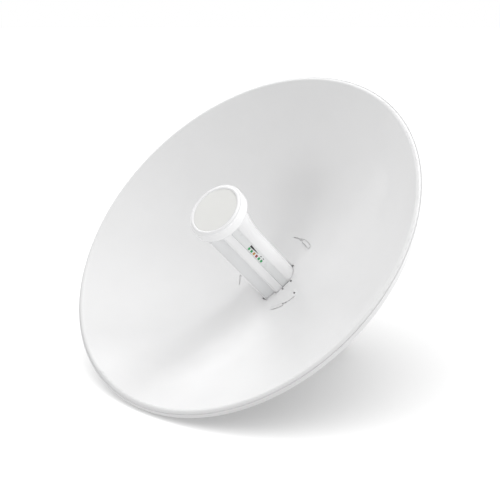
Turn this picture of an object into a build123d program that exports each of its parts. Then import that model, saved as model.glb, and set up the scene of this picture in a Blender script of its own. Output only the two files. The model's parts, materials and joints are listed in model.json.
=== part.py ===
"""Outdoor wireless bridge: a 400 mm class dish with a radio feed, on a tilting pole mount.

The bridge stands as installed on a vertical pole. The beam points along -Y, +Z is up,
and the origin is on the pole's axis, at the middle of the clamp's height.
All sizes are in millimetres.
"""

import os
from math import cos, radians, sin, sqrt

from build123d import *

# ---------------------------------------------------------------- driving dimensions
POLE_R = 25.0  # the pole that the strap is drawn round
RIM_Y = -195.0  # plane of the bowl's edge
DISH_DEPTH = 79.0  # bowl edge to vertex
FACE_R = 203.0  # bowl edge radius
OUTER_R = 210.0  # outside of the hem
SHEET = 1.0  # dish sheet thickness
HEM_DEPTH = 6.0  # how far the hem reaches behind the bowl edge
ROLL_R = FACE_R + 5.2  # outside of the rolled lip
GROOVE_W = 0.7  # groove between the rolled lip and the hem
GROOVE_Y = RIM_Y + 1.5  # bottom of the groove between the rolled lip and the hem

CAP_Y = -246.0  # front of the feed's disc
CAP_R = 32.0
CAP_LEN = 13.0
DISC_R = 26.0
BEAD_H = 0.6  # bead round the disc
FEED_END = 148.0  # feed length behind the disc
WALL = 2.2  # moulded wall of the feed

TUBE_TOP = 17.7  # section of the feed tube, about the dish axis
TUBE_BOTTOM = -28.0
TUBE_HALF = 20.0
TOP_R = 15.5  # rounding of the two upper corners
CORNER_X = 4.5  # centre of that rounding
PAD_X = 20.5  # face of the raised strip that carries the lights
PAD_LOW, PAD_HIGH = -15.1, 3.2
SEAT_X = 16.8  # shell face under the raised strip
LABEL_X = 17.0  # shell face under the label
LABEL_END = 128.3  # how far behind the disc the label reaches
LIP_X, LIP_H = 1.4, 0.8  # small lip along the label's lower edge
LOW_X, LOW_R = -12.0, 8.0  # lower left corner: end of the flat bottom, and its rounding
CHANNEL_LOW = -5.3  # lower side of the light channel
CHANNEL_X = 19.7

LED_COUNT, LED_START, LED_PITCH, LED_Z = 6, 54.5, 5.0, -2.7
LED_SIDE = 2.8

SLOT_R = 46.0  # bayonet slots in the dish: a wide part for the tab, then a narrow one
SLOT_ANGLES = (83.0, 203.0, 323.0)
WIDE_SWEEP, SLOT_SWEEP = 13.0, 32.0
WIDE_W, NARROW_W = 4.8, 1.5
PEEP_R = 1.8  # round hole where the two parts meet

HOUSING_R = 52.0
HOUSING_BACK = -74.0
HOUSING_WALL = 3.0
WINDOW_Z = -42.0  # flat underside with the cable door

PIVOT_Y = -52.0  # tilt axis, parallel to X
PLATE = 2.5  # bracket sheet
EAR_IN = 28.0  # inner face of the pole bracket's ears
TILT_IN = 31.0  # inner face of the tilt bracket's ears
TILT_RANGE = 20.0
LOCK_R = 20.0  # lock bolts, from the tilt axis
PIVOT_BOLT_R = 4.0
LOCK_BOLT_R = 3.0
WEB_Y = -33.0  # front face of the pole bracket's web
STRAP_W = 12.0
STRAP_T = 0.8

GAP = 0.3  # clearance between moving neighbours
FIT = 0.05  # radial running clearance

SHOULDER = TUBE_TOP - TOP_R
SIDE_X = CORNER_X + sqrt(TOP_R**2 - (PAD_HIGH - SHOULDER) ** 2)  # where the rounding meets the strip
FOCUS = FACE_R**2 / (4 * DISH_DEPTH)
VERTEX_Y = RIM_Y + DISH_DEPTH
FRONT = Plane.XZ  # local x is X, local y is Z, extrusions go towards -Y

os.makedirs("parts", exist_ok=True)


def save(piece, name):
    """Label a finished piece and write its STEP file."""
    piece.part.label = name
    export_step(piece.part, f"parts/{name}.step")


def bowl_y(radius, back=0.0):
    """Y of the bowl's front surface at a radius, moved back along the axis."""
    return VERTEX_Y - radius**2 / (4 * FOCUS) + back


def at_feed(distance):
    """Front-view plane at a distance behind the feed's disc."""
    return FRONT.offset(-(CAP_Y + distance))


def feed_section(grow=0.0, covered=False):
    """Outline of the feed tube, as a private sketch; covered takes in the raised strip.

    The outside has a small lip along the label, which the hollow hasn't.
    """
    lip = [
        (LABEL_X + LIP_X, TUBE_BOTTOM),
        (LABEL_X + LIP_X, TUBE_BOTTOM + LIP_H),
        (LABEL_X, TUBE_BOTTOM + LIP_H),
    ]
    hollow_corner = [(LABEL_X, TUBE_BOTTOM)]
    seat = PAD_X if covered else SEAT_X
    with BuildSketch(FRONT, mode=Mode.PRIVATE) as section:
        with BuildLine():
            lower = Polyline(
                (LOW_X, TUBE_BOTTOM),
                *(lip if grow >= 0 else hollow_corner),
                (LABEL_X, PAD_LOW),
                (seat, PAD_LOW),
                (seat, PAD_HIGH),
                (SIDE_X, PAD_HIGH),
            )
            reach = TOP_R * cos(radians(45))
            arc = ThreePointArc(lower @ 1, (CORNER_X + reach, SHOULDER + reach), (CORNER_X, TUBE_TOP))
            top = Line(arc @ 1, (-CORNER_X, TUBE_TOP))
            left = RadiusArc(top @ 1, (-TUBE_HALF, SHOULDER), -TOP_R)
            side = Line(left @ 1, (-TUBE_HALF, TUBE_BOTTOM + LOW_R))
            RadiusArc(side @ 1, (LOW_X, TUBE_BOTTOM), -LOW_R)
        make_face()
        if grow:
            offset(amount=grow)
    return section.sketch


def notches():
    """Small notches round the feed's opening, as a private sketch: spots for a prying blade."""
    spots = (
        (PAD_X + 1.6, CHANNEL_LOW - 1.5, 3.6, 1.8),
        (PAD_X + 1.6, PAD_HIGH + 2.3, 3.6, 2.2),
        (7.5, TUBE_TOP + 0.6, 2.6, 2.4),
        (14.0, TUBE_BOTTOM - 0.9, 4.0, 1.8),
        (PAD_X + 20.5, -1.0, 3.0, 1.8),
    )
    with BuildSketch(FRONT, mode=Mode.PRIVATE) as cut:
        for x, z, width, height in spots:
            with Locations((x, z)):
                Rectangle(width, height)
    return cut.sketch


# ================================================================ dish
# centre lines of the bayonet slots, and of the tabs and lips that sit in them
wide_arcs = [CenterArc((0, 0), SLOT_R, start, WIDE_SWEEP) for start in SLOT_ANGLES]
narrow_arcs = [CenterArc((0, 0), SLOT_R, start, SLOT_SWEEP) for start in SLOT_ANGLES]
tab_arcs = [CenterArc((0, 0), SLOT_R, start + 2, WIDE_SWEEP - 4) for start in SLOT_ANGLES]
lip_arcs = [CenterArc((0, 0), SLOT_R, start - 2.5, WIDE_SWEEP) for start in SLOT_ANGLES]
with BuildPart() as dish:
    with BuildSketch(Plane.XY):
        with BuildLine():
            bowl = Bezier((0, VERTEX_Y), (FACE_R / 2, VERTEX_Y), (FACE_R, RIM_Y))
            roll = ThreePointArc(bowl @ 1, (FACE_R + 3.0, RIM_Y - 1.2), (ROLL_R, RIM_Y + 0.8))
            hem = Polyline(
                roll @ 1,
                (ROLL_R, GROOVE_Y),
                (ROLL_R + GROOVE_W, GROOVE_Y),
                (ROLL_R + GROOVE_W, RIM_Y + 1.0),
                (OUTER_R - 0.4, RIM_Y + 1.0),
                (OUTER_R, RIM_Y + 1.5),
                (OUTER_R, RIM_Y + HEM_DEPTH - 0.8),
                (OUTER_R - 0.7, RIM_Y + HEM_DEPTH),
                (OUTER_R - 1.6, RIM_Y + HEM_DEPTH),
                (OUTER_R - 1.6, GROOVE_Y + SHEET),
                (ROLL_R - 1.0, GROOVE_Y + SHEET),
                (ROLL_R - 1.8, RIM_Y + 0.95),
                (FACE_R + 0.74, RIM_Y + 0.95),
            )
            back = Bezier(hem @ 1, (FACE_R / 2 + 0.4, VERTEX_Y + SHEET), (0, VERTEX_Y + SHEET))
            Line(back @ 1, (0, VERTEX_Y))
        make_face()
    revolve(axis=Axis.Y)
    # three bayonet slots, the opening for the feed, and small notches beside it
    with BuildSketch(FRONT.offset(-VERTEX_Y - 10)):
        for start, wide, narrow in zip(SLOT_ANGLES, wide_arcs, narrow_arcs):
            SlotArc(wide, height=WIDE_W)
            SlotArc(narrow, height=NARROW_W)
            with PolarLocations(SLOT_R, 1, start_angle=start + WIDE_SWEEP + 5):
                Circle(PEEP_R)
        add(feed_section(0.5, covered=True))
        add(notches())
    extrude(amount=30, mode=Mode.SUBTRACT)
save(dish, "dish_reflector")

# ================================================================ rear housing
# The front plate follows the dish's back and closes the housing cup.
PLATE_GAP = 0.4
RING = 4.0  # width of the plate's outer ring
plate_front = VERTEX_Y + SHEET + PLATE_GAP
plate_edge = bowl_y(HOUSING_R, SHEET + PLATE_GAP)
SLEEVE_LEN = 10.0
with BuildPart() as front_plate:
    with BuildSketch(Plane.XY):
        with BuildLine():
            mid_y = bowl_y(HOUSING_R / 2, SHEET + PLATE_GAP)
            face = ThreePointArc((0, plate_front), (HOUSING_R / 2, mid_y), (HOUSING_R, plate_edge))
            Polyline(
                face @ 1,
                (HOUSING_R, plate_edge + 3),
                (HOUSING_R - RING, plate_edge + 3),
                (HOUSING_R - RING, plate_front + 3),
                (0, plate_front + 3),
                (0, plate_front),
            )
        make_face()
    revolve(axis=Axis.Y)
    # room for the flat underside of the cup
    with Locations((0, plate_edge + 3 + 10, WINDOW_Z + HOUSING_WALL + GAP - 15)):
        Box(120, 20, 30, mode=Mode.SUBTRACT)
    # sleeve that guides the feed
    with BuildSketch(FRONT.offset(-plate_front - SLEEVE_LEN)):
        add(feed_section(3.0, covered=True))
    extrude(amount=SLEEVE_LEN - 1)
    with BuildSketch(FRONT.offset(-plate_front - 20)):
        add(feed_section(GAP, covered=True))
        add(notches())
    extrude(amount=30, mode=Mode.SUBTRACT)
    # tabs that reach through the dish's slots, each with a lip over the sheet
    tab_y = bowl_y(SLOT_R)
    TAB_W = WIDE_W - 1.0
    for tab_arc, lip_arc in zip(tab_arcs, lip_arcs):
        with BuildSketch(FRONT.offset(-tab_y - 3)):
            SlotArc(tab_arc, height=TAB_W)
        extrude(amount=3.9)
        with BuildSketch(FRONT.offset(-tab_y + 0.6)):
            SlotArc(lip_arc, height=TAB_W)
        extrude(amount=0.7)
save(front_plate, "housing_front_plate")

cup_front = plate_edge + 4.2
WINDOW_X, WINDOW_Y = 34.0, 26.0
window_mid = HOUSING_BACK - HOUSING_WALL - 1 - WINDOW_Y / 2
HINGE_Y = HOUSING_BACK - 5.5
HINGE_Z = WINDOW_Z - 4.6
HINGE_PIN_R = 1.2
KNUCKLE_R = 3.0
SCREW_X, SCREW_Z, SCREW_R = 19.0, 22.0, 3.0
BUTTON_Y, BUTTON_R = -103.0, 5.5
with BuildPart() as housing:
    with BuildSketch(Plane.XY):
        with BuildLine():
            Polyline(
                (0, HOUSING_BACK),
                (HOUSING_R - 9, HOUSING_BACK),
                (HOUSING_R - 3, HOUSING_BACK - 6),
                (HOUSING_R, cup_front + 6),
                (HOUSING_R, cup_front),
                (0, cup_front),
                (0, HOUSING_BACK),
            )
        make_face()
    revolve(axis=Axis.Y)
    # the underside is cut flat for the cable door
    with Locations((0, window_mid, WINDOW_Z - 20)):
        Box(120, 90, 40, mode=Mode.SUBTRACT)
    with BuildSketch(FRONT.offset(-cup_front + 1)):
        Circle(HOUSING_R - HOUSING_WALL)
        with Locations((0, WINDOW_Z + HOUSING_WALL - 30)):
            Rectangle(120, 60, mode=Mode.SUBTRACT)
    extrude(amount=-(HOUSING_BACK - HOUSING_WALL - cup_front + 1), mode=Mode.SUBTRACT)
    # cable window, button hole, screw holes
    with Locations((0, window_mid, WINDOW_Z)):
        Box(WINDOW_X, WINDOW_Y, 12, mode=Mode.SUBTRACT)
    with BuildSketch(Plane.XY.offset(30)):
        with Locations((0, BUTTON_Y)):
            Circle(BUTTON_R + GAP)
    extrude(amount=40, mode=Mode.SUBTRACT)
    with BuildSketch(FRONT.offset(-HOUSING_BACK - 1)):
        with GridLocations(2 * SCREW_X, 2 * SCREW_Z, 2, 2):
            Circle(SCREW_R + FIT)
    extrude(amount=6, mode=Mode.SUBTRACT)
    # two knuckles for the cable door's hinge pin
    for side in (-1, 1):
        knuckle_x = side * (WINDOW_X / 2 + 3.5)
        with Locations((knuckle_x, HINGE_Y, (HINGE_Z + WINDOW_Z) / 2)):
            Box(4, 2 * KNUCKLE_R, WINDOW_Z - HINGE_Z)
        with Locations((knuckle_x, HINGE_Y, HINGE_Z)):
            Cylinder(KNUCKLE_R, 4, rotation=(0, 90, 0))
    with Locations((0, HINGE_Y, HINGE_Z)):
        Cylinder(HINGE_PIN_R + 0.02, 60, rotation=(0, 90, 0), mode=Mode.SUBTRACT)
save(housing, "rear_housing")

with BuildPart() as housing_seal:
    with BuildSketch(FRONT.offset(-cup_front + 0.1)):
        Circle(HOUSING_R - 0.7)
        Circle(HOUSING_R - 2.7, mode=Mode.SUBTRACT)
    extrude(amount=1.0)
save(housing_seal, "housing_seal")

# ---------------------------------------------------------------- cable door
DOOR_T = 2.0
door_top = WINDOW_Z - 0.2
DOOR_HALF = WINDOW_X / 2 + 1
door_front = window_mid - WINDOW_Y / 2 - 2
GROMMET_R = 4.5
with BuildPart() as cable_door:
    door_len = HINGE_Y - door_front
    with Locations((0, door_front + door_len / 2, door_top - DOOR_T / 2)):
        Box(2 * DOOR_HALF, door_len, DOOR_T)
    fillet(cable_door.edges().filter_by(Axis.Z).sort_by(Axis.Y)[:2], 3)
    with Locations((0, HINGE_Y, HINGE_Z)):
        Cylinder(KNUCKLE_R, 2 * DOOR_HALF, rotation=(0, 90, 0))
    with Locations((0, HINGE_Y - 1, (HINGE_Z + door_top - DOOR_T) / 2)):
        Box(2 * DOOR_HALF, 2, door_top - DOOR_T - HINGE_Z)
    # finger ridge along the front edge
    with Locations((0, door_front + 2, door_top - DOOR_T - 0.6)):
        Box(16, 1.6, 1.2)
    with Locations((0, window_mid, door_top - DOOR_T / 2)):
        Cylinder(GROMMET_R, DOOR_T + 1, mode=Mode.SUBTRACT)
    with Locations((0, HINGE_Y, HINGE_Z)):
        Cylinder(HINGE_PIN_R + FIT, 60, rotation=(0, 90, 0), mode=Mode.SUBTRACT)
save(cable_door, "cable_door")

with BuildPart() as grommet:
    with Locations((0, window_mid, door_top - DOOR_T / 2)):
        Cylinder(GROMMET_R - 0.05, DOOR_T)
        with Locations((0, 0, -DOOR_T / 2 - 0.65), (0, 0, DOOR_T / 2 + 0.65)):
            Cylinder(GROMMET_R + 1.3, 1.2)
        Cylinder(GROMMET_R - 0.05, DOOR_T + 0.2)
        Cylinder(3.0, 10, mode=Mode.SUBTRACT)
save(grommet, "cable_grommet")

with BuildPart() as hinge_pin:
    with Locations((0, HINGE_Y, HINGE_Z)):
        Cylinder(HINGE_PIN_R, 2 * DOOR_HALF + 10, rotation=(0, 90, 0))
save(hinge_pin, "door_hinge_pin")

# ---------------------------------------------------------------- feed latch
# The button's stem goes through the clip's bridge and spreads its two legs.
sleeve_top = TUBE_TOP + 3.0
CLIP_T = 0.8
CLIP_W = 8.0
STEM_R = 2.0
bridge_z = sleeve_top + 0.6
with BuildPart() as latch_clip:
    with BuildSketch(FRONT.offset(-BUTTON_Y - CLIP_W / 2)):
        with BuildLine():
            legs = Polyline(
                (-TUBE_HALF - 3.6, -14),
                (-TUBE_HALF - 3.6, bridge_z),
                (PAD_X + 3.6, bridge_z),
                (PAD_X + 3.6, -14),
            )
            offset(legs, amount=CLIP_T, side=Side.LEFT)
        make_face()
    extrude(amount=CLIP_W)
    with Locations((0, BUTTON_Y, bridge_z)):
        Cylinder(STEM_R + 0.3, 6, mode=Mode.SUBTRACT)
save(latch_clip, "latch_clip")

BUTTON_TRAVEL = 2.5
COLLAR_TOP = HOUSING_R - HOUSING_WALL - 1.0
ON_BASE = (Align.CENTER, Align.CENTER, Align.MIN)
stem_low = bridge_z + BUTTON_TRAVEL + GAP
with BuildPart() as release_button:
    with Locations((0, BUTTON_Y, 0)):
        with Locations((0, 0, COLLAR_TOP - 2)):
            Cylinder(BUTTON_R, 8.5, align=ON_BASE)
            Cylinder(BUTTON_R + 1.2, 2, align=ON_BASE)
        with Locations((0, 0, stem_low)):
            Cylinder(STEM_R, COLLAR_TOP - 2 - stem_low, align=ON_BASE)
    fillet(release_button.faces().sort_by(Axis.Z)[-1].edges(), 1.2)
save(release_button, "release_button")

SPRING_R, WIRE_R, SPRING_TURNS = 3.6, 0.4, 5
spring_low = bridge_z + CLIP_T + WIRE_R + 0.1
spring_high = COLLAR_TOP - 2 - WIRE_R - 0.1
with BuildPart() as release_spring:
    coil_len = spring_high - spring_low
    with BuildLine(Plane((0, BUTTON_Y, spring_low))):
        coil = Helix(coil_len / SPRING_TURNS, coil_len, SPRING_R)
    with BuildSketch(Plane(origin=coil @ 0, z_dir=coil % 0)):
        Circle(WIRE_R)
    sweep(is_frenet=True)
save(release_spring, "release_spring")

# ================================================================ tilt bracket
EAR_OUT = TILT_IN + PLATE
LOCK_SLOT_W = 2 * (LOCK_BOLT_R + GAP)
lock_arc = CenterArc((PIVOT_Y, 0), LOCK_R, 90 - TILT_RANGE - 1, 2 * TILT_RANGE + 2)
with BuildPart() as tilt_bracket:
    with Locations((0, HOUSING_BACK + PLATE / 2, 0)):
        Box(2 * EAR_OUT, PLATE, 60)
    with BuildSketch(Plane.YZ.offset(TILT_IN)) as ear:
        with BuildLine():
            Polyline(
                (HOUSING_BACK, -30),
                (HOUSING_BACK + 14, -30),
                (PIVOT_Y + 12, -11),
                (PIVOT_Y + 17, 20),
                (PIVOT_Y + 8, 30),
                (HOUSING_BACK, 30),
                close=True,
            )
        make_face()
        fillet(ear.vertices().sort_by(Axis.Y)[2:], 5)
    extrude(amount=PLATE)
    mirror(about=Plane.YZ)
    # pivot holes and arc slots for the lock bolts, through both ears
    with BuildSketch(Plane.YZ.offset(-60)):
        with Locations((PIVOT_Y, 0)):
            Circle(PIVOT_BOLT_R + FIT)
        SlotArc(lock_arc, height=LOCK_SLOT_W)
    extrude(amount=120, mode=Mode.SUBTRACT)
    # housing screws, and the hole for the earth screw
    with BuildSketch(FRONT.offset(-HOUSING_BACK - PLATE - 1)):
        with GridLocations(2 * SCREW_X, 2 * SCREW_Z, 2, 2):
            Circle(SCREW_R + FIT)
    extrude(amount=5, mode=Mode.SUBTRACT)
    EARTH_Y, EARTH_Z = HOUSING_BACK + 9, -22.0
    with Locations((EAR_OUT, EARTH_Y, EARTH_Z)):
        Cylinder(2.05, 12, rotation=(0, 90, 0), mode=Mode.SUBTRACT)
save(tilt_bracket, "tilt_bracket")

FLANGE_HEAD_R, FLANGE_T = 6.4, 1.2  # M6 flange screws: the flange and the hexagon on it
HEX_R, HEX_H = 5.0, 4.5
with BuildPart() as housing_screws:
    screw_back = HOUSING_BACK + PLATE
    with BuildSketch(FRONT.offset(-screw_back)):
        with GridLocations(2 * SCREW_X, 2 * SCREW_Z, 2, 2):
            Circle(SCREW_R)
    extrude(amount=14)
    with BuildSketch(FRONT.offset(-screw_back - FLANGE_T)):
        with GridLocations(2 * SCREW_X, 2 * SCREW_Z, 2, 2):
            Circle(FLANGE_HEAD_R)
    extrude(amount=FLANGE_T)
    with BuildSketch(FRONT.offset(-screw_back - FLANGE_T - HEX_H + 0.2)):
        with GridLocations(2 * SCREW_X, 2 * SCREW_Z, 2, 2):
            RegularPolygon(HEX_R, 6)
    extrude(amount=HEX_H)
save(housing_screws, "flange_screws")

with BuildPart() as flange_nuts:
    nut_face = HOUSING_BACK - HOUSING_WALL
    with BuildSketch(FRONT.offset(-nut_face)):
        with GridLocations(2 * SCREW_X, 2 * SCREW_Z, 2, 2):
            RegularPolygon(5.2, 6)
            Circle(SCREW_R + FIT, mode=Mode.SUBTRACT)
    extrude(amount=5)
save(flange_nuts, "flange_nuts")

with BuildPart() as earth_screw:
    with Locations((EAR_OUT - 1.5, EARTH_Y, EARTH_Z)):
        Cylinder(2.0, 9, rotation=(0, 90, 0))
    with Locations((EAR_OUT + 0.6, EARTH_Y, EARTH_Z)):
        Cylinder(4.5, 1.2, rotation=(0, 90, 0))
    with Locations((EAR_OUT + 2.6, EARTH_Y, EARTH_Z)):
        Cylinder(3.6, 2.8, rotation=(0, 90, 0))
    with Locations((EAR_OUT + 4, EARTH_Y, EARTH_Z)):
        Box(2, 8, 0.9, mode=Mode.SUBTRACT)
        Box(2, 0.9, 8, mode=Mode.SUBTRACT)
save(earth_screw, "earth_screw")

# ================================================================ pole bracket
WEB_BACK = WEB_Y + PLATE
EAR_FACE = EAR_IN + PLATE
BRACKET_HALF = 25.0
V_BACK = -8.0
v_apex = -(POLE_R + 0.2) * sqrt(2)
slot_x = 11.0
with BuildPart() as pole_bracket:
    with Locations((0, WEB_Y + PLATE / 2, 0)):
        Box(2 * EAR_FACE, PLATE, 2 * BRACKET_HALF)
    with BuildSketch(Plane.YZ.offset(EAR_IN)) as pole_ear:
        with BuildLine():
            Polyline(
                (WEB_Y, -22),
                (PIVOT_Y + 6, -16),
                (PIVOT_Y - 11, -12),
                (PIVOT_Y - 14, 0),
                (PIVOT_Y - 8, 26),
                (PIVOT_Y + 8, 27),
                (WEB_Y, 22),
                close=True,
            )
        make_face()
        fillet(pole_ear.vertices().sort_by(Axis.Y)[:5], 4)
    extrude(amount=PLATE)
    mirror(about=Plane.YZ)
    # V jaws that bear on the pole, above and below the strap
    for low in (-BRACKET_HALF, BRACKET_HALF - PLATE):
        with BuildSketch(Plane.XY.offset(low)):
            with BuildLine():
                Polyline(
                    (WEB_BACK - v_apex, WEB_BACK),
                    (V_BACK - v_apex, V_BACK),
                    (EAR_FACE, V_BACK),
                    (EAR_FACE, WEB_Y),
                    (-EAR_FACE, WEB_Y),
                    (-EAR_FACE, V_BACK),
                    (v_apex - V_BACK, V_BACK),
                    (v_apex - WEB_BACK, WEB_BACK),
                    close=True,
                )
            make_face()
        extrude(amount=PLATE)
    with BuildSketch(Plane.YZ.offset(-60)):
        with Locations((PIVOT_Y, 0)):
            Circle(PIVOT_BOLT_R + 0.02)
        with Locations((PIVOT_Y, LOCK_R)):
            Circle(LOCK_BOLT_R + 0.02)
    extrude(amount=120, mode=Mode.SUBTRACT)
    # slots that the strap passes through
    with Locations((-slot_x, WEB_Y + PLATE / 2, 0), (slot_x, WEB_Y + PLATE / 2, 0)):
        Box(3.6, 3 * PLATE, STRAP_W + 2, mode=Mode.SUBTRACT)
save(pole_bracket, "pole_bracket")

# ---------------------------------------------------------------- strap and worm screw
def strap_inside():
    """What the strap goes round, as a private sketch: the pole, and the front of the web."""
    leave_x, leave_y = POLE_R * sin(LEAVE), POLE_R * cos(LEAVE)
    cross_y = WEB_Y - 0.2
    cross_x = leave_x - (leave_y - cross_y) / sqrt(3)
    with BuildSketch(Plane.XY.offset(-STRAP_W / 2), mode=Mode.PRIVATE) as inside:
        with BuildLine():
            around = ThreePointArc((leave_x, leave_y), (0, POLE_R), (-leave_x, leave_y))
            Polyline(around @ 1, (-cross_x, cross_y), (cross_x, cross_y), around @ 0)
        make_face()
    return inside.sketch


LEAVE = radians(120)  # where the strap leaves the pole, from the back
with BuildPart() as strap:
    with BuildSketch(Plane.XY.offset(-STRAP_W / 2)):
        add(strap_inside())
        offset(amount=STRAP_T, kind=Kind.INTERSECTION, mode=Mode.REPLACE)
        add(strap_inside(), mode=Mode.SUBTRACT)
    extrude(amount=STRAP_W)
save(strap, "strap_band")

WORM_X = -(POLE_R + STRAP_T + 5.8)
WORM_R = 4.0
with BuildPart() as worm_housing:
    with Locations((WORM_X - 0.2, 0, 0)):
        Box(11.4, 15, 14.5)
    fillet(worm_housing.edges().filter_by(Axis.Y).sort_by(Axis.X)[:2], 4)
    Cylinder(POLE_R + STRAP_T + 0.1, 30, mode=Mode.SUBTRACT)
    with Locations((WORM_X, 0, 0)):
        Cylinder(WORM_R + FIT, 30, rotation=(90, 0, 0), mode=Mode.SUBTRACT)
save(worm_housing, "worm_housing")

with BuildPart() as worm_screw:
    with Locations((WORM_X, 2, 0)):
        Cylinder(WORM_R, 20, rotation=(90, 0, 0))
    for turn in range(6):
        with Locations((WORM_X, -6.5 + 2.2 * turn, 0)):
            Torus(WORM_R, 0.5, rotation=(90, 0, 0), mode=Mode.SUBTRACT)
    with BuildSketch(FRONT.offset(-17)):
        with Locations((WORM_X, 0)):
            RegularPolygon(4.6, 6)
    extrude(amount=6)
    with Locations((WORM_X, 17, 0)):
        Box(12, 2.4, 1.2, mode=Mode.SUBTRACT)
save(worm_screw, "worm_screw")

# ---------------------------------------------------------------- pivot and lock bolts
def along_x(start, end, radius, y, z, hexagon=False, bore=0.0):
    """A cylinder or hexagon prism along X from start to end."""
    with BuildSketch(Plane.YZ.offset(start)) as disc:
        with Locations((y, z)):
            if hexagon:
                RegularPolygon(radius, 6)
            else:
                Circle(radius)
            if bore:
                Circle(bore, mode=Mode.SUBTRACT)
    extrude(disc.sketch, amount=end - start)


with BuildPart() as pivot_bolt:
    along_x(-EAR_OUT - GAP - 5.3, -EAR_OUT - GAP, 7.5, PIVOT_Y, 0, hexagon=True)
    along_x(-EAR_OUT - GAP - 0.1, EAR_OUT + 9.5, PIVOT_BOLT_R, PIVOT_Y, 0)
    chamfer(pivot_bolt.faces().sort_by(Axis.X)[-1].edges(), 0.8)
save(pivot_bolt, "pivot_bolt")

with BuildPart() as pivot_nut:
    along_x(EAR_OUT + GAP, EAR_OUT + GAP + 1.5, 8.5, PIVOT_Y, 0, bore=PIVOT_BOLT_R + 0.02)
    along_x(EAR_OUT + GAP + 1.5, EAR_OUT + GAP + 8, 7.5, PIVOT_Y, 0, True, PIVOT_BOLT_R + 0.02)
save(pivot_nut, "pivot_nut")

with BuildPart() as washers:
    for side in (-1, 1):
        inner_x = min(side * (EAR_FACE + 0.05), side * (TILT_IN - 0.05))
        along_x(inner_x, inner_x + 0.4, 9.0, PIVOT_Y, 0, bore=PIVOT_BOLT_R + 0.05)
save(washers, "friction_washers")

with BuildPart() as lock_bolts:
    along_x(EAR_IN - 3, EAR_IN, 6.0, PIVOT_Y, LOCK_R)
    along_x(EAR_IN - 0.5, EAR_OUT + 14, LOCK_BOLT_R, PIVOT_Y, LOCK_R)
    mirror(about=Plane.YZ)
save(lock_bolts, "lock_bolts")

KNOB_R = 9.0
for side, name in ((1, "lock_knob_right"), (-1, "lock_knob_left")):
    with BuildPart() as knob:
        with BuildSketch(Plane.YZ.offset(side * (EAR_OUT + GAP + 2.5))):
            with Locations((PIVOT_Y, LOCK_R)):
                Circle(KNOB_R)
                with PolarLocations(KNOB_R + 2.2, 6):
                    Circle(3.4, mode=Mode.SUBTRACT)
        extrude(amount=side * 8)
        fillet(knob.faces().sort_by(Axis.X)[-1 if side > 0 else 0].edges(), 1.0)
        with BuildSketch(Plane.YZ.offset(side * (EAR_OUT + GAP))):
            with Locations((PIVOT_Y, LOCK_R)):
                Circle(6.0)
        extrude(amount=side * 2.5)
        with BuildSketch(Plane.YZ.offset(side * (EAR_OUT + GAP))):
            with Locations((PIVOT_Y, LOCK_R)):
                Circle(LOCK_BOLT_R + FIT)
        extrude(amount=side * 20, mode=Mode.SUBTRACT)
    save(knob, name)

# ================================================================ feed
def feed_box(x_span, z_span, along, mode=Mode.ADD):
    """A block in the feed: its X span, its Z span, and its span behind the disc."""
    spans = (x_span, (CAP_Y + along[0], CAP_Y + along[1]), z_span)
    with Locations(tuple((low + high) / 2 for low, high in spans)):
        Box(*(high - low for low, high in spans), mode=mode)


def led_spots():
    """Distances of the six lights behind the disc."""
    return [LED_START + LED_PITCH * i for i in range(LED_COUNT)]


FLANGE_R = CAP_R - 2.7
FLANGE_START = CAP_LEN - 2.6
FLARE_LEN = 65.0  # the top of the tube swells towards the cap from here
FLARE_R = 137.0
# the slot that the light pipes pass through: its X span, Z span and span behind the disc
PIPE_SLOT = (
    (12, 20),
    (LED_Z - 1.2, LED_Z + 1.2),
    (LED_START - 2, LED_START + (LED_COUNT - 1) * LED_PITCH + 2),
)
with BuildPart() as feed_shell:
    with BuildSketch(at_feed(FEED_END)):
        add(feed_section())
    extrude(amount=FEED_END - CAP_LEN)
    with BuildSketch(at_feed(CAP_LEN)):
        Circle(FLANGE_R)
    extrude(amount=CAP_LEN - FLANGE_START)
    # flare of the top, between the tube and the cap
    for distance in (CAP_LEN, 30, 48, FLARE_LEN):
        rise = (FLARE_LEN - distance) ** 2 / (2 * FLARE_R)
        bend_x = CORNER_X + TOP_R * cos(radians(45))
        bend_z = SHOULDER + (TOP_R + rise) * sin(radians(45))
        with BuildSketch(at_feed(distance)):
            with BuildLine():
                base = Line((-SIDE_X, PAD_HIGH), (SIDE_X, PAD_HIGH))
                right = ThreePointArc(base @ 1, (bend_x, bend_z), (CORNER_X, TUBE_TOP + rise))
                crown = Line(right @ 1, (-CORNER_X, TUBE_TOP + rise))
                ThreePointArc(crown @ 1, (-bend_x, bend_z), base @ 0)
            make_face()
    loft()
    with BuildSketch(at_feed(FEED_END + 1)):
        add(feed_section(-WALL))
    extrude(amount=FEED_END + 1, mode=Mode.SUBTRACT)
    feed_box(*PIPE_SLOT, mode=Mode.SUBTRACT)
save(feed_shell, "feed_shell")

COVER_END = 136.0
with BuildPart() as feed_cover:
    with BuildSketch(at_feed(COVER_END)):
        with BuildLine():
            Polyline(
                (SEAT_X + FIT, PAD_LOW),
                (PAD_X - 0.5, PAD_LOW),
                (PAD_X, PAD_LOW + 0.5),
                (PAD_X, PAD_LOW + 1.2),
                (PAD_X - 0.4, PAD_LOW + 1.4),
                (PAD_X, PAD_LOW + 1.6),
                (PAD_X, CHANNEL_LOW - 1.0),
                (PAD_X + 0.3, CHANNEL_LOW - 0.7),
                (PAD_X, CHANNEL_LOW - 0.2),
                (CHANNEL_X - 0.8, CHANNEL_LOW),
                (CHANNEL_X - 0.8, PAD_HIGH - FIT),
                (SEAT_X + FIT, PAD_HIGH - FIT),
                close=True,
            )
        make_face()
    extrude(amount=COVER_END - CAP_LEN - 0.1)
    feed_box(*PIPE_SLOT, mode=Mode.SUBTRACT)
save(feed_cover, "feed_cover")

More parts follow.
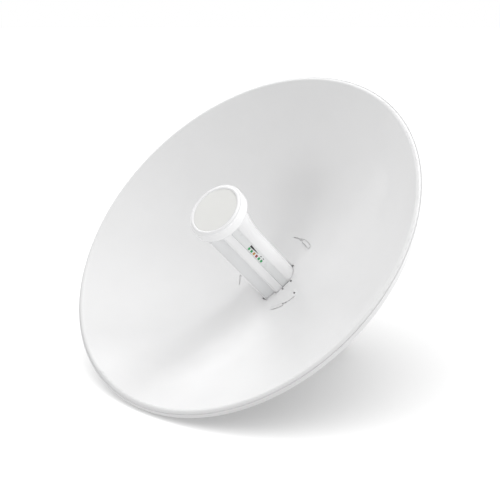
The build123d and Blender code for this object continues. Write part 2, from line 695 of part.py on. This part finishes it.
with BuildPart() as light_window:
    feed_box(
        (CHANNEL_X - 0.75, CHANNEL_X),
        (CHANNEL_LOW + 0.05, PAD_HIGH - 0.1),
        (CAP_LEN + 0.2, COVER_END),
    )
    half = LED_SIDE / 2 + 0.1
    for spot in led_spots():
        feed_box(
            (CHANNEL_X - 2, CHANNEL_X + 2),
            (LED_Z - half, LED_Z + half),
            (spot - half, spot + half),
            mode=Mode.SUBTRACT,
        )
save(light_window, "light_window")

# lenses are the heads of light pipes that reach down to the board
BOARD_X, BOARD_T = 3.05, 1.6
CHIP_H = 1.0
board_face = BOARD_X + BOARD_T
LENS_GROUPS = {
    "lens_signal_green": (0, 1),
    "lens_signal_amber": (2,),
    "lens_signal_red": (3,),
    "lens_status_green": (4, 5),
}
for name, members in LENS_GROUPS.items():
    with BuildPart() as lenses:
        for member in members:
            spot = led_spots()[member]
            half = LED_SIDE / 2
            feed_box(
                (CHANNEL_X - 0.7, CHANNEL_X + 0.15),
                (LED_Z - half, LED_Z + half),
                (spot - half, spot + half),
            )
            feed_box(
                (board_face + CHIP_H + 0.2, CHANNEL_X - 0.7),
                (LED_Z - 1, LED_Z + 1),
                (spot - 1, spot + 1),
            )
    save(lenses, name)

MARK_Z = 0.5
with BuildPart() as light_marks:
    wedge_start, wedge_end = LED_START - 1.4, LED_START + 14.2
    with BuildSketch(Plane.YZ.offset(CHANNEL_X)):
        with BuildLine():
            Polyline(
                (CAP_Y + wedge_start, MARK_Z - 1.2),
                (CAP_Y + wedge_start, MARK_Z + 1.2),
                (CAP_Y + wedge_end, MARK_Z + 0.1),
                (CAP_Y + wedge_end, MARK_Z - 0.1),
                close=True,
            )
        make_face()
        for spot in led_spots()[4:]:
            with Locations((CAP_Y + spot, MARK_Z)):
                Rectangle(1.6, 0.9)
    extrude(amount=0.15)
save(light_marks, "light_marks")

with BuildPart() as label_plate:
    feed_box(
        (LABEL_X + 0.02, LABEL_X + 0.3),
        (TUBE_BOTTOM + LIP_H + 0.1, PAD_LOW - 0.1),
        (CAP_LEN + 0.5, LABEL_END),
    )
save(label_plate, "label_plate")

# ---------------------------------------------------------------- cap
with BuildPart() as feed_cap:
    with BuildSketch(Plane.XY):
        with BuildLine():
            front = Polyline(
                (0, CAP_Y + 0.9),
                (DISC_R + 0.1, CAP_Y + 0.9),
                (DISC_R + 0.1, CAP_Y + 0.1),
                (DISC_R + 0.3, CAP_Y),
            )
            bead = ThreePointArc(front @ 1, (DISC_R + 1.8, CAP_Y - BEAD_H), (DISC_R + 3.2, CAP_Y))
            groove = Polyline(bead @ 1, (DISC_R + 3.6, CAP_Y + 0.5), (DISC_R + 4.2, CAP_Y + 0.6))
            shoulder_arc = ThreePointArc(
                groove @ 1, (CAP_R - 0.5, CAP_Y + 1.1), (CAP_R, CAP_Y + 2.4)
            )
            wall_line = Line(shoulder_arc @ 1, (CAP_R, CAP_Y + CAP_LEN - 2.5))
            lip = ThreePointArc(
                wall_line @ 1,
                (CAP_R - 0.7, CAP_Y + CAP_LEN - 0.7),
                (CAP_R - 2.4, CAP_Y + CAP_LEN),
            )
            Polyline(
                lip @ 1,
                (CAP_R - 2.6, CAP_Y + 3.2),
                (0, CAP_Y + 3.2),
                (0, CAP_Y + 0.9),
            )
        make_face()
    revolve(axis=Axis.Y)
save(feed_cap, "feed_cap")

with BuildPart() as cap_disc:
    with BuildSketch(at_feed(0.85)):
        Circle(DISC_R)
    extrude(amount=0.8)
    fillet(cap_disc.faces().sort_by(Axis.Y)[0].edges(), 0.3)
save(cap_disc, "cap_disc")

with BuildPart() as cap_seal:
    with BuildSketch(at_feed(FLANGE_START - 0.05)):
        Circle(FLANGE_R - 0.1)
        Circle(FLANGE_R - 2.2, mode=Mode.SUBTRACT)
    extrude(amount=1.2)
save(cap_seal, "cap_seal")

with BuildPart() as sub_reflector:
    with BuildSketch(at_feed(5.0)):
        Circle(27)
    extrude(amount=0.8)
save(sub_reflector, "sub_reflector")

with BuildPart() as radiator:
    with BuildSketch(at_feed(9.0)):
        Rectangle(24, 5)
        Rectangle(5, 24)
        Circle(5)
    extrude(amount=0.6)
    with BuildSketch(at_feed(18.0)):
        with Locations((-3, 0), (3, 0)):
            Circle(0.9)
    extrude(amount=9.1)
save(radiator, "radiator")

with BuildPart() as radiator_board:
    with BuildSketch(at_feed(19.6)):
        Rectangle(24, 24)
    extrude(amount=1.6)
save(radiator_board, "radiator_board")

# ---------------------------------------------------------------- radio board and what it carries
BOARD_END = 143.5
with BuildPart() as radio_board:
    feed_box((BOARD_X, board_face), (-21, 11), (20, BOARD_END))
save(radio_board, "radio_board")

with BuildPart() as shield_cans:
    for start, end in ((30, 56), (62, 92)):
        feed_box((BOARD_X - 4.05, BOARD_X - 0.05), (-16, 8), (start, end))
save(shield_cans, "shield_cans")

with BuildPart() as status_leds:
    for spot in led_spots():
        feed_box(
            (board_face + 0.02, board_face + CHIP_H),
            (LED_Z - 0.9, LED_Z + 0.9),
            (spot - 0.9, spot + 0.9),
        )
save(status_leds, "status_leds")

with BuildPart() as lan_transformer:
    feed_box((BOARD_X - 6.05, BOARD_X - 0.05), (-12, 2), (100, 118))
save(lan_transformer, "lan_transformer")

JACK_START, JACK_LEN = 126.9, 21.0
JACK_X, JACK_Z = -5.1, -6.0
JACK_W, JACK_H = 16.0, 13.5
with BuildPart() as jack:
    feed_box(
        (JACK_X - JACK_W / 2, JACK_X + JACK_W / 2),
        (JACK_Z - JACK_H / 2, JACK_Z + JACK_H / 2),
        (JACK_START, JACK_START + JACK_LEN),
    )
    feed_box(
        (JACK_X - 6, JACK_X + 6),
        (JACK_Z - 4, JACK_Z + 4.4),
        (JACK_START + 6, 160),
        mode=Mode.SUBTRACT,
    )
    feed_box(
        (JACK_X - 3, JACK_X + 3),
        (JACK_Z - 6, JACK_Z + 4),
        (JACK_START + 8, 160),
        mode=Mode.SUBTRACT,
    )
save(jack, "ethernet_jack")

with BuildPart() as jack_contacts:
    for i in range(8):
        x = JACK_X + 1.02 * (i - 3.5)
        feed_box((x - 0.2, x + 0.2), (JACK_Z + 3.2, JACK_Z + 4.35), (JACK_START + 6.05, JACK_START + 16))
save(jack_contacts, "jack_contacts")

RESET_X, RESET_Z, RESET_R = -5.0, 8.0, 2.0
BASE_T = 4.0
BASE_SCREWS = ((10, 6), (-14, -20))
BASE_SCREW_R, BASE_HEAD_R, BASE_HEAD_H = 1.25, 2.6, 1.6
DRIVE_W = 0.8  # slot across each head
with BuildPart() as feed_base:
    with BuildSketch(at_feed(FEED_END)):
        add(feed_section(-WALL - 0.05))
        with Locations((JACK_X, JACK_Z)):
            Rectangle(JACK_W + 0.1, JACK_H + 0.1, mode=Mode.SUBTRACT)
        with Locations((RESET_X, RESET_Z)):
            Circle(RESET_R + FIT, mode=Mode.SUBTRACT)
        with Locations(*BASE_SCREWS):
            Circle(BASE_SCREW_R + FIT, mode=Mode.SUBTRACT)
    extrude(amount=BASE_T)
save(feed_base, "feed_base")

with BuildPart() as base_screws:
    with BuildSketch(at_feed(FEED_END)):
        with Locations(*BASE_SCREWS):
            Circle(BASE_SCREW_R)
    extrude(amount=10)
    with BuildSketch(at_feed(FEED_END + BASE_HEAD_H)):
        with Locations(*BASE_SCREWS):
            Circle(BASE_HEAD_R)
    extrude(amount=BASE_HEAD_H)
    for _, z in BASE_SCREWS:
        drive = (FEED_END + BASE_HEAD_H - 0.7, FEED_END + BASE_HEAD_H + 1)
        feed_box((-20, 20), (z - DRIVE_W / 2, z + DRIVE_W / 2), drive, mode=Mode.SUBTRACT)
save(base_screws, "base_screws")

with BuildPart() as reset_button:
    with BuildSketch(at_feed(FEED_END - 0.4)):
        with Locations((RESET_X, RESET_Z)):
            Circle(RESET_R)
    extrude(amount=6)
    with BuildSketch(at_feed(FEED_END - BASE_T - GAP)):
        with Locations((RESET_X, RESET_Z)):
            Circle(RESET_R + 0.8)
    extrude(amount=1.2)
save(reset_button, "reset_button")
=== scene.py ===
"""Materials, light and camera for the outdoor wireless bridge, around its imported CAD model.

The frame is the CAD's own, in metres: +Z up along the pole, the beam along -Y, the lights on +X.
A picture direction is (right, up, towards the camera).
"""

import json
import math

import bpy
from mathutils import Matrix, Vector


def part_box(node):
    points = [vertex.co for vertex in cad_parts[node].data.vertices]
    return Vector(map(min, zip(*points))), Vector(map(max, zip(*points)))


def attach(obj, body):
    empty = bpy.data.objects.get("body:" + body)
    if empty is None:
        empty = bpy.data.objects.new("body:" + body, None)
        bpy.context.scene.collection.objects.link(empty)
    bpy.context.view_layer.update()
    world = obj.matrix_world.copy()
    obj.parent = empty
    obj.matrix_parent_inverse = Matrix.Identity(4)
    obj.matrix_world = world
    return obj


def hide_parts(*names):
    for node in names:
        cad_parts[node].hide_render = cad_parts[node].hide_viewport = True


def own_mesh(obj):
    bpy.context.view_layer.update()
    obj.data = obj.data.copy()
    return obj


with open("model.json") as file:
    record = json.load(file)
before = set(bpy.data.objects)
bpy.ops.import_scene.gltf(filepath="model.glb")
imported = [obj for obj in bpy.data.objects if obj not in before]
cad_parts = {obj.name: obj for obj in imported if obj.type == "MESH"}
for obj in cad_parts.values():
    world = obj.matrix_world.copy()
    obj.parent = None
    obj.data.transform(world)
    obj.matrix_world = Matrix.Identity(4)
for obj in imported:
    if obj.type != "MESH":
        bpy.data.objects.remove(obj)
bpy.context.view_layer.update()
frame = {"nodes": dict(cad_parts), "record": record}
nodes = frame["nodes"]
MM = 0.001

# ---------------------------------------------------------------- camera settings
AZIMUTH, ROLL = math.radians(46.86), math.radians(45.89)
DISTANCE = 1.5
LENS, SENSOR = 102.3, 36.0  # millimetres
AIM_RIGHT, AIM_UP = 10.06 * MM, -14.69 * MM  # from the middle of the dish's rim
LIP_FRONT = 1.25 * MM  # how far the rolled lip stands in front of the rim's plane

# ---------------------------------------------------------------- floor settings
FLOOR_TILT = math.radians(16)  # towards the camera, from the picture's upright
FLOOR_HALF = 3.0
FLOOR_DROP = 0.5 * MM  # gap under the lowest point
FLOOR_PATCH = 0.4  # size of its faint patches
FLOOR_GREYS = ((0.69, 0.69, 0.69), (0.7, 0.7, 0.7))
FLOOR_GLOW = 0.05

# ---------------------------------------------------------------- light settings
LAMP_DISTANCE, LAMP_SIZE = 2.2, 0.8
# picture direction and power of each soft lamp
LAMPS = {
    "key": ((0.42, 0.91, 0.02), 10.3),
    "key_front": ((0.35, 0.88, 0.32), 7.2),
    "right": ((0.65, 0.65, 0.39), 4.2),
    "left_front": ((-0.65, -0.18, 0.74), 4.7),
    "left_rear": ((-0.75, 0.45, -0.49), 3.1),
    "top_left_rear": ((-0.39, 0.79, -0.49), 3.5),
    "top_left": ((-0.48, 0.83, -0.27), 2.3),
    "top_rear": ((0.04, 0.95, -0.3), 1.8),
    "rim_right": ((0.96, 0.2, 0.27), 17.0),  # from just behind the bowl's opening, for its edge
}
# the feed stands apart from the bowl, so it has two lamps of its own
FEED_LAMPS = {
    "feed_fill": ((0.3, -0.3, 0.9), 8.4),
    "feed_key": ((0.8, 0.0, 0.3), 1.8),
}
SUN_DIRECTION, SUN_POWER, SUN_ANGLE = (-0.22, 0.75, 0.68), 4.1, math.radians(95)
SKY_STRENGTH = 0.66

# ---------------------------------------------------------------- node helpers
NOISE_LOW, NOISE_HIGH = 0.3, 0.7  # nearly all of a noise's values lie between these


class Graph:
    """A new material's node tree, with short calls for the nodes used here."""

    def __init__(self, name):
        self.material = bpy.data.materials.new(name)
        self.material.use_nodes = True
        self.tree = self.material.node_tree
        self.shader = self.tree.nodes["Principled BSDF"]
        self.place = self.add("ShaderNodeTexCoord").outputs["Object"]

    def add(self, kind, **values):
        """A node with some of its unlinked inputs set; a socket name's spaces are underscores."""
        node = self.tree.nodes.new(kind)
        for key, value in values.items():
            node.inputs[key.replace("_", " ")].default_value = value
        return node

    def link(self, output, node, socket):
        self.tree.links.new(output, node.inputs[socket])

    def noise(self, size, detail=2.0, stretch=(1, 1, 1), fineness=0.5):
        """Noise with features of a given size in metres, optionally drawn out along an axis."""
        mapping = self.add("ShaderNodeMapping", Scale=tuple(1 / s for s in stretch))
        self.link(self.place, mapping, "Vector")
        texture = self.add("ShaderNodeTexNoise", Scale=1 / size, Detail=detail, Roughness=fineness)
        self.link(mapping.outputs["Vector"], texture, "Vector")
        return texture.outputs["Fac"]

    def remap(self, noise, low, high):
        """The noise's usual range taken to low..high."""
        node = self.add(
            "ShaderNodeMapRange", From_Min=NOISE_LOW, From_Max=NOISE_HIGH, To_Min=low, To_Max=high
        )
        self.link(noise, node, "Value")
        return node.outputs["Result"]

    def blend(self, noise, first, second):
        """A colour between two, by the noise."""
        ramp = self.add("ShaderNodeValToRGB")
        stops = zip(ramp.color_ramp.elements, (NOISE_LOW, NOISE_HIGH), (first, second))
        for stop, position, colour in stops:
            stop.position = position
            stop.color = (*colour, 1)
        self.link(noise, ramp, "Fac")
        return ramp.outputs["Color"]

    def bump(self, value, depth):
        """A normal from a height pattern of a given depth in metres."""
        node = self.add("ShaderNodeBump", Distance=depth, Strength=1.0)
        self.link(value, node, "Height")
        return node.outputs["Normal"]

    def set(self, **values):
        """Values for the shader's own sockets."""
        for key, value in values.items():
            self.shader.inputs[key.replace("_", " ")].default_value = value

    def drive(self, **outputs):
        """Links into the shader's sockets."""
        for key, output in outputs.items():
            self.link(output, self.shader, key.replace("_", " "))


def shade(colour, factor):
    return tuple(min(c * factor, 1.0) for c in colour)


# ---------------------------------------------------------------- kinds of material
CLOUD, GLOSS_PATCH = 45 * MM, 12 * MM  # sizes of the patches in a coating's colour and gloss


def grained(name, colour, rough, grain, depth, mottle=0.03, **sockets):
    """A painted or moulded surface: faint mottled colour, uneven gloss, and grain measured in millimetres."""
    g = Graph(name)
    cloud = g.noise(CLOUD, detail=3.0)
    g.drive(
        Base_Color=g.blend(cloud, shade(colour, 1 - mottle), shade(colour, 1 + mottle / 2)),
        Roughness=g.remap(g.noise(GLOSS_PATCH, detail=4.0), rough * 0.85, rough * 1.15),
        Normal=g.bump(g.noise(grain * MM, detail=1.0), depth * MM),
    )
    g.set(**sockets)
    return g.material


def metal(name, colour, rough, marks, stretch=(1, 1, 1)):
    """Plated, rolled or brushed metal, with marks of a size in millimetres, drawn out along an axis."""
    g = Graph(name)
    pattern = g.noise(marks * MM, detail=5.0, stretch=stretch, fineness=0.6)
    g.drive(
        Base_Color=g.blend(pattern, shade(colour, 0.86), shade(colour, 1.05)),
        Roughness=g.remap(pattern, rough * 0.7, rough * 1.3),
        Normal=g.bump(pattern, 0.02 * MM),
    )
    g.set(Metallic=1.0)
    return g.material


def lens(name, colour):
    """A small tinted light head that glows a little: uneven tint under a clear coat."""
    g = Graph(name)
    tint = g.blend(g.noise(1.6 * MM, detail=1.0), shade(colour, 0.75), shade(colour, 1.25))
    g.drive(Base_Color=tint, Emission_Color=tint, Roughness=g.remap(g.noise(0.8 * MM), 0.12, 0.3))
    g.set(Emission_Strength=0.05, Coat_Weight=0.6, Coat_Roughness=0.08)
    return g.material


def board(name):
    """Circuit board: solder mask over rows of copper lanes."""
    g = Graph(name)
    lanes = g.add("ShaderNodeTexBrick", Scale=130.0, Mortar_Size=0.06, Brick_Width=1.6, Row_Height=0.35)
    greens = {"Color1": (0.012, 0.11, 0.05), "Color2": (0.016, 0.14, 0.06), "Mortar": (0.03, 0.22, 0.09)}
    for socket, colour in greens.items():
        lanes.inputs[socket].default_value = (*colour, 1)
    mapping = g.add("ShaderNodeMapping", Rotation=(0, math.pi / 2, 0))
    g.link(g.place, mapping, "Vector")
    g.link(mapping.outputs["Vector"], lanes, "Vector")
    g.drive(
        Base_Color=lanes.outputs["Color"],
        Roughness=g.remap(g.noise(4 * MM), 0.25, 0.4),
        Normal=g.bump(lanes.outputs["Fac"], 0.03 * MM),
    )
    g.set(Coat_Weight=0.4)
    return g.material


def grey(level):
    return (level, level, level)


# ---------------------------------------------------------------- materials by the record's slot
materials = {
    "dish_coat": grained(
        "powder_coat", (0.86, 0.86, 0.862), rough=0.42, grain=1.1, depth=0.02, mottle=0.012, Coat_Weight=0.12
    ),
    "housing_plastic": grained("housing_texture", grey(0.8), rough=0.5, grain=0.5, depth=0.04),
    "rubber": grained("rubber", (0.03, 0.03, 0.032), rough=0.75, grain=0.7, depth=0.06, mottle=0.12),
    "spring_steel": metal("spring_steel", (0.55, 0.55, 0.54), rough=0.3, marks=2),
    "button_plastic": grained("button_texture", (0.2, 0.22, 0.25), rough=0.45, grain=0.4, depth=0.04),
    "bracket_coat": grained("bracket_coat", (0.62, 0.63, 0.64), rough=0.45, grain=0.9, depth=0.04),
    "zinc_steel": metal("zinc_plate", (0.62, 0.62, 0.6), rough=0.35, marks=3),
    "fibre": grained("fibre", (0.16, 0.09, 0.05), rough=0.8, grain=0.6, depth=0.08, mottle=0.15),
    "stainless": metal("rolled_band", (0.66, 0.66, 0.65), rough=0.28, marks=1.2, stretch=(9, 9, 1)),
    "knob_plastic": grained(
        "knob_texture", (0.03, 0.03, 0.033), rough=0.5, grain=0.6, depth=0.06, mottle=0.1
    ),
    "feed_gloss": grained(
        "gloss_moulding", (0.87, 0.87, 0.875), rough=0.2, grain=4, depth=0.006, mottle=0.01, Coat_Weight=0.3
    ),
    "feed_satin": grained(
        "satin_moulding", (0.84, 0.84, 0.845), rough=0.38, grain=0.6, depth=0.01, mottle=0.015
    ),
    "light_window": grained(
        "milky_window", (0.76, 0.77, 0.77), rough=0.3, grain=0.8, depth=0.01, mottle=0.02
    ),
    "lens_green": lens("lens_green", (0.03, 0.32, 0.1)),
    "lens_amber": lens("lens_amber", (0.55, 0.26, 0.06)),
    "lens_red": lens("lens_red", (0.3, 0.02, 0.035)),
    "print_black": grained("pad_print", (0.02, 0.02, 0.022), rough=0.4, grain=0.3, depth=0.01, mottle=0.1),
    "label_grey": grained("label_film", (0.74, 0.745, 0.75), rough=0.34, grain=0.7, depth=0.01, mottle=0.02),
    "disc_ivory": grained(
        "ivory_disc", (0.78, 0.78, 0.762), rough=0.4, grain=0.6, depth=0.012, mottle=0.015
    ),
    "brass_plate": metal("brass_plate", (0.75, 0.55, 0.24), rough=0.3, marks=2),
    "board_green": board("circuit_board"),
    "tinned_steel": metal("tinned_steel", (0.7, 0.7, 0.69), rough=0.25, marks=4),
    "gold_contact": metal("gold_contact", (0.9, 0.65, 0.22), rough=0.2, marks=1),
    "led_white": grained("led_body", (0.8, 0.8, 0.7), rough=0.3, grain=0.4, depth=0.01),
    "transformer_black": grained(
        "transformer_body", (0.02, 0.02, 0.021), rough=0.45, grain=0.5, depth=0.04, mottle=0.1
    ),
}
for subpart in frame["record"]["subparts"]:
    piece = nodes[subpart["node"]]
    piece.data.materials.clear()
    piece.data.materials.append(materials[subpart["material_slot"]])


# ---------------------------------------------------------------- the button's spring
def make_spring():
    """A piece in the CAD spring's shape, fixed to the dish, in place of the hidden CAD spring."""
    spring = bpy.data.objects.new("return_spring", nodes["release_spring"].data.copy())
    bpy.context.scene.collection.objects.link(spring)
    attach(spring, "dish")
    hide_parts("release_spring")
    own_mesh(spring)
    return spring


return_spring = make_spring()

# ---------------------------------------------------------------- camera
dish_low, dish_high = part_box("dish_reflector")
rim_centre = (dish_low + dish_high) / 2
rim_centre.y = dish_low.y + LIP_FRONT
level = Vector((math.cos(AZIMUTH), math.sin(AZIMUTH), 0))
right = level * math.cos(ROLL) + Vector((0, 0, math.sin(ROLL)))
back = Vector((math.sin(AZIMUTH), -math.cos(AZIMUTH), 0))
up = back.cross(right)


def picture_direction(x, y, z):
    """A unit vector in the frame from a picture direction."""
    return (right * x + up * y + back * z).normalized()


camera_data = bpy.data.cameras.new("camera")
camera_data.lens = LENS
camera_data.sensor_width = SENSOR
camera = bpy.data.objects.new("camera", camera_data)
bpy.context.scene.collection.objects.link(camera)
spot = rim_centre + right * AIM_RIGHT + up * AIM_UP + back * DISTANCE
camera.matrix_world = Matrix.Translation(spot) @ Matrix((right, up, back)).transposed().to_4x4()
bpy.context.scene.camera = camera


# ---------------------------------------------------------------- floor
def floor_material():
    """Matt pale grey with faint patches, and clear from underneath."""
    g = Graph("floor")
    g.drive(Base_Color=g.blend(g.noise(FLOOR_PATCH), *FLOOR_GREYS))
    g.set(Roughness=1.0, Emission_Color=(1, 1, 1, 1), Emission_Strength=FLOOR_GLOW, Specular_IOR_Level=0.0)
    clear = g.add("ShaderNodeBsdfTransparent")
    side = g.add("ShaderNodeNewGeometry")
    choice = g.add("ShaderNodeMixShader")
    g.link(side.outputs["Backfacing"], choice, "Fac")
    g.link(g.shader.outputs["BSDF"], choice, 1)
    g.link(clear.outputs["BSDF"], choice, 2)
    g.link(choice.outputs["Shader"], g.tree.nodes["Material Output"], "Surface")
    return g.material


def make_floor():
    """The ground just under the object. It shows the object's shadow and throws nothing back on it."""
    normal = picture_direction(0, math.cos(FLOOR_TILT), math.sin(FLOOR_TILT))
    along = picture_direction(1, 0, 0)
    deep = normal.cross(along)
    lowest = min(normal.dot(v.co) for o in nodes.values() for v in o.data.vertices)
    middle = rim_centre + normal * (lowest - FLOOR_DROP - normal.dot(rim_centre))
    corners = [
        middle + along * FLOOR_HALF * a + deep * FLOOR_HALF * b
        for a, b in ((-1, -1), (1, -1), (1, 1), (-1, 1))
    ]
    mesh = bpy.data.meshes.new("floor")
    mesh.from_pydata(corners, [], [(0, 1, 2, 3)])
    mesh.materials.append(floor_material())
    ground = bpy.data.objects.new("floor", mesh)
    bpy.context.scene.collection.objects.link(ground)
    ground.visible_diffuse = False
    ground.visible_glossy = False
    ground.visible_transmission = False
    ground.visible_shadow = False
    return ground


floor = make_floor()


# ---------------------------------------------------------------- light
def receivers(name, pieces):
    """A collection of the pieces that some lamps may light."""
    group = bpy.data.collections.new(name)
    for piece in pieces:
        group.objects.link(piece)
    return group


def place_lamp(data, direction, group):
    """Aims a lamp at the middle of the rim, and lets it light only the given collection."""
    lamp = bpy.data.objects.new(data.name, data)
    lamp.location = rim_centre + direction * LAMP_DISTANCE
    lamp.rotation_mode = "QUATERNION"
    lamp.rotation_quaternion = direction.to_track_quat("Z", "Y")
    bpy.context.scene.collection.objects.link(lamp)
    lamp.light_linking.receiver_collection = group


def place_soft_lamps(lamps, group):
    for name, (direction, power) in lamps.items():
        data = bpy.data.lights.new(name, "AREA")
        data.shape = "DISK"
        data.size = LAMP_SIZE
        data.energy = power
        place_lamp(data, picture_direction(*direction), group)


def place_floor_sun(group):
    sun = bpy.data.lights.new("floor_sun", "SUN")
    sun.energy = SUN_POWER
    sun.angle = SUN_ANGLE
    place_lamp(sun, picture_direction(*SUN_DIRECTION), group)


def make_world():
    """Even white light from all round, with a full white backdrop for the camera."""
    world = bpy.data.worlds.new("studio")
    bpy.context.scene.world = world
    world.use_nodes = True
    tree = world.node_tree
    sky = tree.nodes["Background"]
    sky.inputs["Color"].default_value = (1, 1, 1, 1)
    sky.inputs["Strength"].default_value = SKY_STRENGTH
    backdrop = tree.nodes.new("ShaderNodeBackground")
    backdrop.inputs["Color"].default_value = (1, 1, 1, 1)
    path = tree.nodes.new("ShaderNodeLightPath")
    pick = tree.nodes.new("ShaderNodeMixShader")
    tree.links.new(path.outputs["Is Camera Ray"], pick.inputs[0])
    tree.links.new(sky.outputs[0], pick.inputs[1])
    tree.links.new(backdrop.outputs[0], pick.inputs[2])
    tree.links.new(pick.outputs[0], tree.nodes["World Output"].inputs["Surface"])


feed_nodes = frame["record"]["behaviour"]["bodies"]["feed"]
whole_group = receivers("whole_object", [*nodes.values(), return_spring])
feed_group = receivers("feed_alone", [nodes[name] for name in feed_nodes])
floor_group = receivers("floor_alone", [floor])
place_soft_lamps(LAMPS, whole_group)
place_soft_lamps(FEED_LAMPS, feed_group)
place_floor_sun(floor_group)
make_world()
bpy.context.scene.view_settings.view_transform = "Standard"
